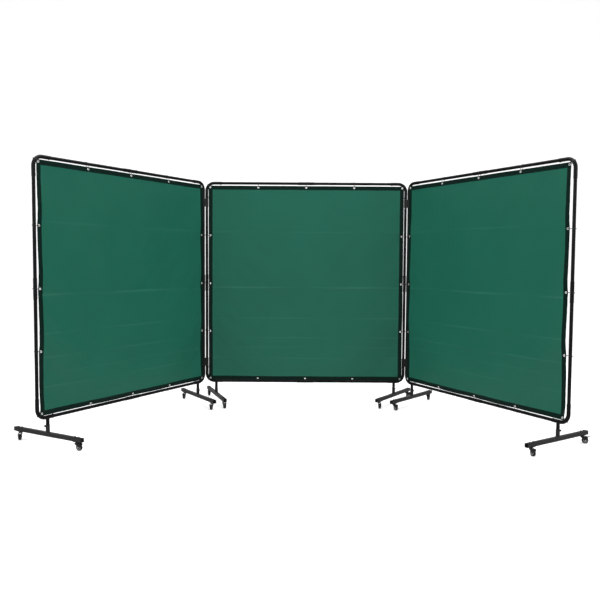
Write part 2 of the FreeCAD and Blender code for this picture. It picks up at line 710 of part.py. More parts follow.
def make_wheel(size):
    """Tyre and hub, turning together on the axle."""
    radius, rim = size.wheel_diameter / 2, size.wheel_diameter * size.rim_share
    half, hub_half = size.wheel_width / 2, size.hub_width / 2
    bore = size.axle_diameter / 2 + size.slip_fit
    edge, web, inner, boss = half - CHAMFER, half / 3, rim - 2 * CHAMFER, 2 * bore
    shoulder, tread = radius - 2 * CHAMFER, half - 2 * CHAMFER
    tyre = turned("tyre", [(rim, -edge), (rim + CHAMFER, -half), (shoulder, -half), (radius, -tread),
                           (radius, tread), (shoulder, half), (rim + CHAMFER, half), (rim, edge)])
    hub = turned("hub", [(bore, -hub_half), (boss, -hub_half), (boss + CHAMFER, -web), (inner, -web),
                         (rim - CHAMFER, -edge), (rim, -edge), (rim, edge), (rim - CHAMFER, edge),
                         (inner, web), (boss + CHAMFER, web), (boss, hub_half), (bore, hub_half)])
    turn = Placement(Vector(size.caster_trail.value, 0, radius.value), Rotation(Z_AXIS, Y_AXIS))
    return group("caster_wheel", copy_at("wheel_tyre", tyre, turn), copy_at("wheel_hub", hub, turn))


def make_pedal(size):
    """Brake pedal: a bent tread plate on a barrel, with its pin."""
    pivot_x, pivot_z = pedal_pivot(size)
    width = size.pedal_width
    plate = padded("pedal_plate", "XZ_Plane", [(pivot_x + x, pivot_z + z) for x, z in PEDAL_PLATE], width)
    barrel = cylinder("pedal_barrel", size.pedal_barrel, width, (pivot_x, -width / 2, pivot_z), Y_AXIS)
    length = size.hub_width + 1 + 2 * size.fork_wall
    pin = cylinder("pedal_pin_rod", size.pedal_pin, length, (pivot_x, -length / 2, pivot_z), Y_AXIS)
    return fuse("brake_pedal", plate, barrel, pin)


# ---------------------------------------------------------------- clip


def make_clip(size):
    """Twin push-on clip: one C round each tube, the second C at X = hinge_spacing."""
    outside = size.tube_diameter + 2 * size.slip_fit + 2 * size.clip_wall
    bore = size.tube_diameter + 2 * size.slip_fit
    spacing, length = size.hinge_spacing, size.clip_length
    web = box("clip_web", (spacing, 2 * outside / 3, length), (0, -outside / 3, 0))
    shells, bores, mouths = [], [], []
    for name, x in (("fixed", 0), ("swinging", spacing)):
        shells.append(cylinder(f"clip_{name}_shell", outside, length, (x, 0, 0)))
        bores.append(cylinder(f"clip_{name}_bore", bore, length, (x, 0, 0)))
        mouths.append(box(f"clip_{name}_mouth", (size.clip_mouth, outside, length),
                          (x - size.clip_mouth / 2, 0, 0)))
    return cut("clip", fuse("clip_blank", web, *shells), *bores, *mouths)


def place_clips(size, top, side, angle):
    """The upper and lower clip of one junction, turned halfway towards the wing."""
    clip = doc.getObject("clip") or make_clip(size)
    turn = Rotation(Z_AXIS, 180 + angle / 2) if side < 0 else Rotation(Z_AXIS, -angle / 2)
    mirror = Rotation(X_AXIS, 180) if side < 0 else Rotation()
    reach, length = size.elbow_reach.value + size.clip_margin.value, size.clip_length.value
    lift = length if side < 0 else 0
    name = "left" if side < 0 else "right"
    pieces = [copy_at(f"{name}_{place}_clip", clip, Placement(Vector(0, 0, z + lift), turn.multiply(mirror)))
              for place, z in (("upper", top - reach - length), ("lower", size.rail_height.value + reach))]
    return group(f"{name}_clip_pair", *pieces)


# ---------------------------------------------------------------- whole screen


def layout(size):
    """Where everything stands at rest, before the origin is moved to the footprint's middle."""
    half = (size.curtain_side.value + size.tube_diameter.value) / 2 + size.curtain_gap.value
    spacing = size.hinge_spacing.value
    panels, hinges = {"centre": Placement()}, {}
    wings = (("left", -1, size.left_wing_angle.value), ("right", 1, size.right_wing_angle.value))
    for name, side, angle in wings:
        fixed = Vector(side * half, 0, 0)
        part_way, full = math.radians(angle / 2), math.radians(angle)
        swinging = fixed + Vector(side * math.cos(part_way), -math.sin(part_way), 0) * spacing
        middle = swinging + Vector(side * math.cos(full), -math.sin(full), 0) * half
        panels[name] = Placement(middle, Rotation(Z_AXIS, -side * angle))
        hinges[name] = (fixed, swinging, angle, side)
    reach = half - size.post_inset.value
    feet = {}
    for name, (panel, side, heading, *trails) in FEET.items():
        post = panels[panel].multVec(Vector(side * reach, 0, 0))
        foot = Placement(post, Rotation(Z_AXIS, heading))
        stems = [foot.multVec(Vector(x.value, 0, 0)) for x in caster_places(size)]
        feet[name] = (foot, [Placement(stem, Rotation(Z_AXIS, trail)) for stem, trail in zip(stems, trails)])
    return SimpleNamespace(half=half, panels=panels, hinges=hinges, feet=feet)


def build_nodes(size, plan):
    """Make every piece once, then place it wherever the screen has one."""
    top = size.rail_height.value + 2 * plan.half
    middle = (size.curtain_side + size.tube_diameter) / 2 + size.curtain_gap + size.rail_height
    panel_pieces = {
        "elbows": place_elbows(size, plan.half, top),
        "tubes": place_tubes(size, plan.half, top),
        "curtain": make_curtain(size, middle),
        "grommets": place_grommets(size, middle),
        "ties": place_ties(size, plan.half, middle.value),
    }
    foot_pieces = {"foot": make_foot(size), "foot_fittings": place_fittings(size)}
    fork, wheel, pedal = make_fork(size), make_wheel(size), make_pedal(size)

    nodes = {}
    for panel, placement in plan.panels.items():
        for piece, master in panel_pieces.items():
            nodes[f"{panel}_{piece}"] = (master, placement)
    for name, (fixed, _, angle, side) in plan.hinges.items():
        nodes[f"{name}_clips"] = (place_clips(size, top, side, angle), Placement(fixed, Rotation()))
    for name, (foot, casters) in plan.feet.items():
        for piece, master in foot_pieces.items():
            nodes[f"{name}_{piece}"] = (master, foot)
        for end, caster in zip(("near", "far"), casters):
            nodes[f"{name}_{end}_fork"] = (fork, caster)
            nodes[f"{name}_{end}_wheel"] = (wheel, caster)
        nodes[f"{name}_pedal"] = (pedal, casters[0])
    return {name: label_node(name, master, placement) for name, (master, placement) in nodes.items()}


def label_node(name, master, placement):
    item = copy_at("node_" + name, master, placement)
    item.Label = name
    return item


def centre_footprint(nodes):
    """Move every node so that the origin is the middle of the footprint, on the floor."""
    doc.recompute()
    bounds = FreeCAD.BoundBox()
    for item in nodes.values():
        bounds.add(item.Shape.BoundBox)
    shift = Vector(-bounds.Center.x, -bounds.Center.y, -bounds.ZMin)
    for item in nodes.values():
        item.Placement = Placement(shift, Rotation()).multiply(item.Placement)
    doc.recompute()
    return shift


def check(nodes):
    for item in doc.Objects:
        if "Invalid" in item.State or "Error" in item.State:
            raise RuntimeError(f"{item.Label} did not recompute: {item.State}")
    for name, item in nodes.items():
        if item.Shape.isNull() or not item.Shape.isValid() or not item.Shape.Solids:
            raise RuntimeError(f"{name} has no valid solid")


def export(nodes):
    os.makedirs("parts", exist_ok=True)
    for name, item in nodes.items():
        Part.makeCompound(item.Shape.Solids).exportStep(f"parts/{name}.step")


size = fill_sheet()
plan = layout(size)
nodes = build_nodes(size, plan)
origin_shift = centre_footprint(nodes)
check(nodes)
export(nodes)
print(f"{len(nodes)} nodes, {sum(len(item.Shape.Solids) for item in nodes.values())} solids")
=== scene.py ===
import json
import math
import random

import bmesh
import bpy
import numpy as np
from mathutils import Matrix, Vector


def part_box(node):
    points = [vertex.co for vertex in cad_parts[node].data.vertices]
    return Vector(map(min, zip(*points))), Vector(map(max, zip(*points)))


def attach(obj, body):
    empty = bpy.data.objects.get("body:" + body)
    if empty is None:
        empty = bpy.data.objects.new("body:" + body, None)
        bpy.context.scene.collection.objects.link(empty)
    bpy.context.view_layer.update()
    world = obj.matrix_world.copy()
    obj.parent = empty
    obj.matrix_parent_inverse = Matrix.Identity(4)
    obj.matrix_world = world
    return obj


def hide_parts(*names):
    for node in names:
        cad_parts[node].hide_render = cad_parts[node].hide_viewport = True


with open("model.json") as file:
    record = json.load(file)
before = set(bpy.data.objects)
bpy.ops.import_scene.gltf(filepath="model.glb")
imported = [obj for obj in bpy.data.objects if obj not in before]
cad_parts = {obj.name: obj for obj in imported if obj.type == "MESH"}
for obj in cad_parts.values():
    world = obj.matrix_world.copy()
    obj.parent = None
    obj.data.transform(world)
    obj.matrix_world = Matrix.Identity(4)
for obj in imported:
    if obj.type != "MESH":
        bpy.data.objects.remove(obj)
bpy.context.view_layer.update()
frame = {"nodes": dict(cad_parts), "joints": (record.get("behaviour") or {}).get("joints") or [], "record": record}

# Three-panel welding screen. Small parts are drawn in millimetres in their own frames:
# Panel frame: the panel stands in XZ, its front is -Y, and its middle is X = 0.
# Foot frame: the beam lies along X, and the clamp screw points to +X.
# Caster frame: the swivel axis is Z, and the wheel trails towards +X.
MM = 0.001
JOINTS = {joint["name"]: joint for joint in frame["joints"]}
MOUNTS = {mount["name"]: mount for mount in frame["record"]["mounts"]}
PANELS = ("left", "centre", "right")
FEET = ("left_outer", "left_inner", "centre_left", "centre_right", "right_inner", "right_outer")

TUBE_RADIUS, SLEEVE_RADIUS, POST_RADIUS = 12.5, 14.2, 12.7
FORWARD = 16.4                      # curtain's middle plane, in front of the tubes' axes
EYELET_INSET, EYELET_BORE = 16.0, 10.0
HEM_WIDTH = 37.0
HEM_THICKNESS, SHEET_THICKNESS = 1.3, 0.55
RAIL_HEIGHT = 202.5
POST_INSET = 88.5
BEND_RADIUS = 70.0


# ---------------------------------------------------------------- places


def upright(origin, along):
    """Frame with X along a level direction and Z up."""
    along = Vector((along[0], along[1], 0)).normalized()
    back = Vector((-along.y, along.x, 0))
    matrix = Matrix((along, back, Vector((0, 0, 1)))).transposed().to_4x4()
    matrix.translation = Vector((origin[0], origin[1], 0))
    return matrix


def panel_matrix(panel):
    if panel == "centre":
        low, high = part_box("centre_curtain")
        return upright(((low.x + high.x) / 2, JOINTS["left_clip_swing"]["pos_m"][1]), (1, 0))
    side = -1 if panel == "left" else 1
    inner = Vector(JOINTS[f"{panel}_wing_swing"]["pos_m"])
    outer = Vector(MOUNTS[f"{panel}_end_tube_lower"]["pos_m"])
    return upright((inner + outer) / 2, (outer - inner) * side)


def foot_matrix(foot):
    post = Vector(JOINTS[f"{foot}_foot_turn"]["pos_m"])
    near = Vector(JOINTS[f"{foot}_near_swivel"]["pos_m"])
    return upright(post, near - post)


def caster_matrix(foot, end):
    stem = Vector(JOINTS[f"{foot}_{end}_swivel"]["pos_m"])
    axle = Vector(JOINTS[f"{foot}_{end}_spin"]["axis"])
    return upright(stem, axle.cross(Vector((0, 0, 1))))


# ---------------------------------------------------------------- materials


def material(name, color, roughness, metallic=0.0, specular=0.5, coat=0.0, coat_roughness=0.1,
             transmission=0.0, mottle=0.0, mottle_scale=8.0, rough_spread=0.0,
             bump=0.0, bump_scale=900.0, bump_depth=0.0002, sheen=0.0):
    """Principled surface with colour mottling, uneven gloss and a fine bump."""
    made = bpy.data.materials.new(name)
    made.use_nodes = True
    tree = made.node_tree
    shader = tree.nodes["Principled BSDF"]
    shader.inputs["Base Color"].default_value = (*color, 1)
    shader.inputs["Roughness"].default_value = roughness
    shader.inputs["Metallic"].default_value = metallic
    shader.inputs["Specular IOR Level"].default_value = specular
    shader.inputs["Coat Weight"].default_value = coat
    shader.inputs["Coat Roughness"].default_value = coat_roughness
    shader.inputs["Transmission Weight"].default_value = transmission
    shader.inputs["Sheen Weight"].default_value = sheen
    place = tree.nodes.new("ShaderNodeTexCoord")

    def noise(scale, detail):
        node = tree.nodes.new("ShaderNodeTexNoise")
        node.inputs["Scale"].default_value = scale
        node.inputs["Detail"].default_value = detail
        tree.links.new(place.outputs["Object"], node.inputs["Vector"])
        return node

    if mottle:
        ramp = tree.nodes.new("ShaderNodeMapRange")
        ramp.inputs["From Min"].default_value, ramp.inputs["From Max"].default_value = 0.3, 0.7
        ramp.inputs["To Min"].default_value, ramp.inputs["To Max"].default_value = 1 - mottle, 1 + mottle
        tint = tree.nodes.new("ShaderNodeVectorMath")
        tint.operation = "SCALE"
        tint.inputs[0].default_value = color
        tree.links.new(noise(mottle_scale, 4).outputs["Fac"], ramp.inputs["Value"])
        tree.links.new(ramp.outputs["Result"], tint.inputs["Scale"])
        tree.links.new(tint.outputs["Vector"], shader.inputs["Base Color"])
    if rough_spread:
        ramp = tree.nodes.new("ShaderNodeMapRange")
        ramp.inputs["From Min"].default_value, ramp.inputs["From Max"].default_value = 0.3, 0.7
        ramp.inputs["To Min"].default_value = roughness - rough_spread
        ramp.inputs["To Max"].default_value = roughness + rough_spread
        tree.links.new(noise(mottle_scale * 2.7, 3).outputs["Fac"], ramp.inputs["Value"])
        tree.links.new(ramp.outputs["Result"], shader.inputs["Roughness"])
    if bump:
        node = tree.nodes.new("ShaderNodeBump")
        node.inputs["Strength"].default_value = bump
        node.inputs["Distance"].default_value = bump_depth
        tree.links.new(noise(bump_scale, 2).outputs["Fac"], node.inputs["Height"])
        tree.links.new(node.outputs["Normal"], shader.inputs["Normal"])
    return made


def paint_crease_highlights(made, pale):
    """Painted highlight: paler lines along the sheet's folds, mixed into the base colour from its crease
    attribute.
    """
    tree = made.node_tree
    color = tree.nodes["Principled BSDF"].inputs["Base Color"]
    # The crease attribute masks where the painted highlight lightens the base colour.
    highlight_attribute_node = tree.nodes.new("ShaderNodeAttribute")
    highlight_attribute_node.attribute_name = "crease"
    mix = tree.nodes.new("ShaderNodeMix")
    mix.data_type = "RGBA"
    plain = color.links[0].from_socket
    inputs = {socket.identifier: socket for socket in mix.inputs}
    tree.links.new(highlight_attribute_node.outputs["Fac"], inputs["Factor_Float"])
    tree.links.new(plain, inputs["A_Color"])
    inputs["B_Color"].default_value = (*pale, 1)
    tree.links.new({s.identifier: s for s in mix.outputs}["Result_Color"], color)


POWDER = material("powder_coat", (0.004, 0.004, 0.0045), 0.32, specular=0.15, mottle=0.08, mottle_scale=5,
                  rough_spread=0.05, bump=0.35, bump_scale=700, bump_depth=0.0003)
# Painted light: a paler copy of the frame's black powder coat, standing in for the light the beams' tops catch.
LIT_FOOT_POWDER = material("foot_powder_coat_lit", (0.0135, 0.0135, 0.0142), 0.4, specular=0.36, mottle=0.1,
                       mottle_scale=6, rough_spread=0.06, bump=0.4, bump_scale=700, bump_depth=0.0003)
VINYL = material("green_vinyl", (0.0122, 0.12, 0.0775), 0.4, specular=0.08, transmission=0.25, mottle=0.03,
                 mottle_scale=2.5, rough_spread=0.05, bump=0.12, bump_scale=260, bump_depth=0.0004)
HEM = material("green_vinyl_hem", (0.002, 0.0115, 0.0085), 0.42, specular=0.08, mottle=0.06, mottle_scale=4,
               rough_spread=0.05, bump=0.15, bump_scale=260, bump_depth=0.0004)
# Painted highlight along the folds: the crease attribute mixes the vinyl toward this paler green.
paint_crease_highlights(VINYL, (0.029, 0.155, 0.11))
THREAD = material("black_thread", (0.008, 0.012, 0.011), 0.75, sheen=0.3, mottle=0.2, mottle_scale=300,
                  bump=0.5, bump_scale=2500, bump_depth=0.0002)
NICKEL = material("nickel_eyelet", (0.95, 0.95, 0.93), 0.32, metallic=0.4, specular=0.8, mottle=0.03,
                  mottle_scale=60, rough_spread=0.06, bump=0.1, bump_scale=900, bump_depth=0.0001)
NYLON = material("black_nylon", (0.011, 0.011, 0.012), 0.48, mottle=0.1, mottle_scale=40, rough_spread=0.06,
                 bump=0.3, bump_scale=1400, bump_depth=0.0002)
CLIP_PLASTIC = material("clip_plastic", (0.005, 0.005, 0.0055), 0.42, specular=0.25, mottle=0.08,
                        mottle_scale=30, rough_spread=0.06, bump=0.3, bump_scale=1100, bump_depth=0.0002)
CAP_PLASTIC = material("cap_plastic", (0.003, 0.003, 0.0033), 0.55, specular=0.2, mottle=0.1,
                       mottle_scale=50, rough_spread=0.05, bump=0.35, bump_scale=1300, bump_depth=0.0002)
BLACK_ZINC = material("black_zinc", (0.07, 0.07, 0.075), 0.38, metallic=1, mottle=0.2, mottle_scale=90,
                      rough_spread=0.08, bump=0.2, bump_scale=1500, bump_depth=0.0001)
BRIGHT_ZINC = material("bright_zinc", (0.62, 0.63, 0.65), 0.3, metallic=1, mottle=0.08, mottle_scale=70,
                       rough_spread=0.1, bump=0.15, bump_scale=1200, bump_depth=0.0001)
FORK_STEEL = material("fork_steel", (0.006, 0.006, 0.0065), 0.36, specular=0.3, mottle=0.1,
                      mottle_scale=40, rough_spread=0.06, coat=0.15, coat_roughness=0.25,
                      bump=0.25, bump_scale=900, bump_depth=0.0002)
RUBBER = material("tread_rubber", (0.008, 0.008, 0.008), 0.7, specular=0.3, mottle=0.15,
                  mottle_scale=60, rough_spread=0.08, bump=0.5, bump_scale=1100, bump_depth=0.0003)
HUB_PLASTIC = material("hub_plastic", (0.26, 0.263, 0.266), 0.4, mottle=0.06, mottle_scale=50,
                       rough_spread=0.06, bump=0.25, bump_scale=1200, bump_depth=0.0002)
WELD = material("weld_bead", (0.015, 0.015, 0.0155), 0.42, mottle=0.2, mottle_scale=120, rough_spread=0.08,
                bump=0.6, bump_scale=600, bump_depth=0.0004)


# ---------------------------------------------------------------- shapes


class Shape:
    """Collects faces in millimetres, each group with its material, into one mesh."""

    def __init__(self):
        self.points, self.faces, self.slots, self.materials = [], [], [], []

    def add(self, part, surface, matrix=None):
        points, faces = part
        if surface not in self.materials:
            self.materials.append(surface)
        start, slot = len(self.points), self.materials.index(surface)
        self.points += [matrix @ Vector(p) for p in points] if matrix else [Vector(p) for p in points]
        self.faces += [[start + k for k in face] for face in faces]
        self.slots += [slot] * len(faces)

    def mesh(self, name, sharp=40):
        made = bpy.data.meshes.new(name)
        made.from_pydata([p * MM for p in self.points], [], self.faces)
        for surface in self.materials:
            made.materials.append(surface)
        made.polygons.foreach_set("material_index", self.slots)
        tidy_mesh(made, sharp)
        return made


def tidy_mesh(mesh, sharp=40):
    edit = bmesh.new()
    edit.from_mesh(mesh)
    bmesh.ops.recalc_face_normals(edit, faces=edit.faces)
    edit.to_mesh(mesh)
    edit.free()
    mesh.polygons.foreach_set("use_smooth", [True] * len(mesh.polygons))
    mesh.set_sharp_from_angle(angle=math.radians(sharp))
    mesh.update()


def place(name, mesh, matrix, body, slot, *replaced):
    """An object of a mesh, put where a frame is, riding on a body."""
    made = bpy.data.objects.new(name, mesh)
    bpy.context.scene.collection.objects.link(made)
    made.matrix_world = matrix
    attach(made, body)
    if replaced:
        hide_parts(*replaced)
    return made


def turn_to(axis, origin=(0, 0, 0)):
    """Frame whose Z points along an axis."""
    return Matrix.Translation(origin) @ Vector(axis).to_track_quat("Z", "Y").to_matrix().to_4x4()


def lathe(profile, segments=32, closed=True, wobble=None):
    """Profile of (radius, height) turned about Z. A closed profile is a ring's section."""
    points, faces = [], []
    count = len(profile)
    for radius, height in profile:
        for k in range(segments):
            angle = 2 * math.pi * k / segments
            r = radius + (wobble(angle, radius) if wobble and radius > 0 else 0)
            points.append((r * math.cos(angle), r * math.sin(angle), height))
    last = count if closed else count - 1
    for i in range(last):
        j = (i + 1) % count
        for k in range(segments):
            m = (k + 1) % segments
            faces.append([i * segments + k, i * segments + m, j * segments + m, j * segments + k])
    if not closed:
        faces.append(list(range(segments))[::-1])
        faces.append([last * segments + k for k in range(segments)])
    return points, faces


def extrude(outline, low, high, bevel=0.0, segments=2):
    """Outline in XY raised along Z, with rounded edges."""
    edit = bmesh.new()
    base = [edit.verts.new((x, y, low)) for x, y in outline]
    face = edit.faces.new(base)
    raised = bmesh.ops.extrude_face_region(edit, geom=[face])
    moved = [v for v in raised["geom"] if isinstance(v, bmesh.types.BMVert)]
    bmesh.ops.translate(edit, vec=(0, 0, high - low), verts=moved)
    if bevel:
        edit.normal_update()
        sharp = [e for e in edit.edges if e.calc_face_angle(0) > math.radians(35)]
        bmesh.ops.bevel(edit, geom=sharp, offset=bevel, segments=segments, profile=0.5, affect="EDGES",
                        clamp_overlap=True)
    edit.verts.index_update()
    part = [tuple(v.co) for v in edit.verts], [[v.index for v in f.verts] for f in edit.faces]
    edit.free()
    return part


def block(low, high, bevel=0.0, segments=2):
    outline = [(low[0], low[1]), (high[0], low[1]), (high[0], high[1]), (low[0], high[1])]
    return extrude(outline, low[2], high[2], bevel, segments)


def hexagon(across):
    radius = across / math.sqrt(3)
    return [(radius * math.cos(math.pi * k / 3), radius * math.sin(math.pi * k / 3)) for k in range(6)]


def rounded(outline, radius, steps=4):
    """Outline with each corner cut to a curve."""
    made = []
    for k, corner in enumerate(outline):
        here = Vector(corner)
        before, after = Vector(outline[k - 1]), Vector(outline[(k + 1) % len(outline)])
        reach = min(radius, (before - here).length / 2.2, (after - here).length / 2.2)
        start, end = here + (before - here).normalized() * reach, here + (after - here).normalized() * reach
        for i in range(steps + 1):
            t = i / steps
            made.append(tuple(start * (1 - t) ** 2 + here * 2 * t * (1 - t) + end * t ** 2))
    return made


def sweep(path, section, normals, binormals):
    """Section of (across, out) carried round a closed path."""
    points, faces = [], []
    count, ring = len(path), len(section)
    for p, n, b in zip(path, normals, binormals):
        points += [tuple(Vector(p) + n * u + b * v) for u, v in section]
    for i in range(count):
        j = (i + 1) % count
        for k in range(ring):
            m = (k + 1) % ring
            faces.append([i * ring + k, i * ring + m, j * ring + m, j * ring + k])
    return points, faces


def thread_profile(radius, low, high, pitch):
    """Outline of a screw thread: ridges of one pitch."""
    steps = max(2, int((high - low) / pitch * 2))
    return [(radius - (0.35 if k % 2 else 0), low + (high - low) * k / steps) for k in range(steps + 1)]


# ---------------------------------------------------------------- curtain


def spline_weights(places, count):
    """Weights of evenly spaced knots at each place, straight beyond the ends."""
    weights = np.zeros((len(places), count))
    for row, x in enumerate(places):
        k = min(max(int(math.floor(x)), 0), count - 2)
        f = x - k
        if x < 0 or x > count - 1:
            shares = (0, 1 - f, f, 0)
        else:
            shares = ((-f + 2 * f ** 2 - f ** 3) / 2, (2 - 5 * f ** 2 + 3 * f ** 3) / 2,
                      (f + 4 * f ** 2 - 3 * f ** 3) / 2, (f ** 3 - f ** 2) / 2)
        for offset, share in zip((-1, 0, 1, 2), shares):
            weights[row, min(max(k + offset, 0), count - 1)] += share
    return weights


SHEET_CELLS = 64                    # cells of the simulated sheet, each way
EDGE_BOW = 2.5                      # how far the edges start forward between the eyelets
SLACK = 0.0003                      # spare length of the sheet, as a share
SETTLE_STEPS = 45


def hang_sheet(width, height, seed):
    """Points of a slack sheet tied at its sixteen eyelets, as a grid (mm)."""
    cells = SHEET_CELLS
    across, tall = width - 2 * EYELET_INSET, height - 2 * EYELET_INSET
    pick = random.Random(seed)
    waves = [(pick.uniform(0.6, 2.2), pick.uniform(0.6, 2.2), pick.uniform(0, 6.28), pick.uniform(-1, 1))
             for _ in range(8)]
    flat = np.zeros((cells + 1, cells + 1, 3))
    for i in range(cells + 1):
        for k in range(cells + 1):
            u, v = k / cells, i / cells
            depth = sum(a * math.sin(3.1 * p * u + 3.4 * q * v + s) for p, q, s, a in waves)
            inside = min(u, 1 - u, v, 1 - v)
            between = max(abs(math.sin(4 * math.pi * u)), abs(math.sin(4 * math.pi * v)))
            bow = between * math.exp(-12 * inside)
            out = 1.2 * depth * min(1, 5 * inside) - EDGE_BOW * bow
            flat[i, k] = (across * (u - 0.5), out, tall * (v - 0.5))
    pinned = [i * (cells + 1) + k for i in range(0, cells + 1, cells // 4)
              for k in range(0, cells + 1, cells // 4) if 0 in (i, k) or cells in (i, k)]
    for index in pinned:
        flat[index // (cells + 1), index % (cells + 1), 1] = 0
    mesh = bpy.data.meshes.new("slack_sheet")
    faces = [[row + k, row + k + 1, row + cells + k + 2, row + cells + k + 1]
             for row in range(0, cells * (cells + 1), cells + 1) for k in range(cells)]
    mesh.from_pydata((flat * MM).reshape(-1, 3).tolist(), [], faces)
    sheet = bpy.data.objects.new("slack_sheet", mesh)
    bpy.context.scene.collection.objects.link(sheet)
    group = sheet.vertex_groups.new(name="tied")
    group.add(pinned, 1.0, "REPLACE")
    cloth = sheet.modifiers.new("hang", "CLOTH")
    cloth.settings.quality = 7
    cloth.settings.mass = 0.12
    cloth.settings.air_damping = 4
    cloth.settings.tension_stiffness = 90
    cloth.settings.compression_stiffness = 90
    cloth.settings.shear_stiffness = 50
    cloth.settings.bending_stiffness = 30
    cloth.settings.vertex_group_mass = "tied"
    cloth.settings.shrink_min = -SLACK
    cloth.settings.shrink_max = -SLACK
    cloth.point_cache.frame_start, cloth.point_cache.frame_end = 1, SETTLE_STEPS
    for step in range(1, SETTLE_STEPS + 1):
        bpy.context.scene.frame_set(step)
    shaped = sheet.evaluated_get(bpy.context.evaluated_depsgraph_get())
    coordinates = np.zeros(len(mesh.vertices) * 3, np.float32)
    shaped.data.vertices.foreach_get("co", coordinates)
    bpy.data.objects.remove(sheet)
    bpy.context.scene.frame_set(1)
    return coordinates.reshape(cells + 1, cells + 1, 3).astype(float) / MM


def sheet_lines(length, creases=()):
    """Places of the sheet's grid lines from one edge: hem, eyelets, creases, and an even fill."""
    half_hole = EYELET_BORE / 2 + 0.5
    spread = length - 2 * EYELET_INSET
    near_edge = [0, 0.7, 4, EYELET_INSET - half_hole, EYELET_INSET + half_hole, 29,
                 HEM_WIDTH - 0.6, HEM_WIDTH + 0.6]
    fixed = near_edge + [length - x for x in near_edge]
    for quarter in (1, 2, 3):
        middle = EYELET_INSET + spread * quarter / 4
        fixed += [middle - half_hole, middle + half_hole]
    for crease in creases:
        fixed += [crease + d for d in (-32, -20, -12, -6, -2, 2, 6, 12, 20, 32)]
    fixed = sorted(fixed)
    lines = []
    for start, end in zip(fixed, fixed[1:]):
        steps = max(1, round((end - start) / 17))
        lines += [start + (end - start) * k / steps for k in range(steps)]
    return lines + [fixed[-1]]


# Folds from packing, as heights above the curtain's middle, and how deep each is.
CREASES = ((-43, 2.6), (490, 1.2), (-326, 1.5), (-497, 1.2), (-604, 0.8), (-706, 1.1))
CREASE_WIDTH = 11.0
CURTAINS = {                        # width, height, shift across and up, seed
    "left": (1824, 1821, -10, -1, 11),
    "centre": (1829, 1829, 0, -5, 5),
    "right": (1822, 1819, 1, -2, 23),
}


def curtain_surface(panel):
    """Function from places on the flat curtain to points in the panel's frame (mm)."""
    width, height, across, up, seed = CURTAINS[panel]
    low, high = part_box(f"{panel}_curtain")
    middle = (low.z + high.z) / 2 / MM + up
    knots = hang_sheet(width, height, seed)
    cells = knots.shape[0] - 1
    pick = random.Random(seed + 1)
    folds = [(h + pick.uniform(-12, 12), depth * pick.choice((-1, 1)), pick.uniform(0, 6))
             for h, depth in CREASES]

    def surface(us, vs):
        cell_u = (width - 2 * EYELET_INSET) / cells
        cell_v = (height - 2 * EYELET_INSET) / cells
        weights_u = spline_weights([(u - EYELET_INSET) / cell_u for u in us], cells + 1)
        weights_v = spline_weights([(v - EYELET_INSET) / cell_v for v in vs], cells + 1)
        grid = np.einsum("vi,ikc,uk->vuc", weights_v, knots, weights_u)
        for fold, depth, phase in folds:
            distance = np.abs(np.array(vs) - height / 2 - fold)[:, None]
            strength = 0.7 + 0.3 * np.sin(np.array(us)[None, :] / 260 + phase)
            grid[:, :, 1] += depth * strength * np.exp(-distance / CREASE_WIDTH)
        grid[:, :, 0] += across
        grid[:, :, 1] -= FORWARD
        grid[:, :, 2] += middle
        return grid

    def crease_highlight_strength(us, vs):
        """How strongly each place gets the painted highlight along a fold, from none to one."""
        grid = np.zeros((len(vs), len(us)))
        for fold, depth, phase in folds:
            distance = np.abs(np.array(vs) - height / 2 - fold)[:, None]
            along = 0.55 + 0.45 * np.sin(np.array(us)[None, :] / 170 + 2 * phase)
            grid += min(1, abs(depth) / 2.4) * along * np.clip(1 - distance / CREASE_WIDTH, 0, 1)
        return np.clip(grid, 0, 1)

    return surface, crease_highlight_strength, [height / 2 + fold for fold, _, _ in folds]


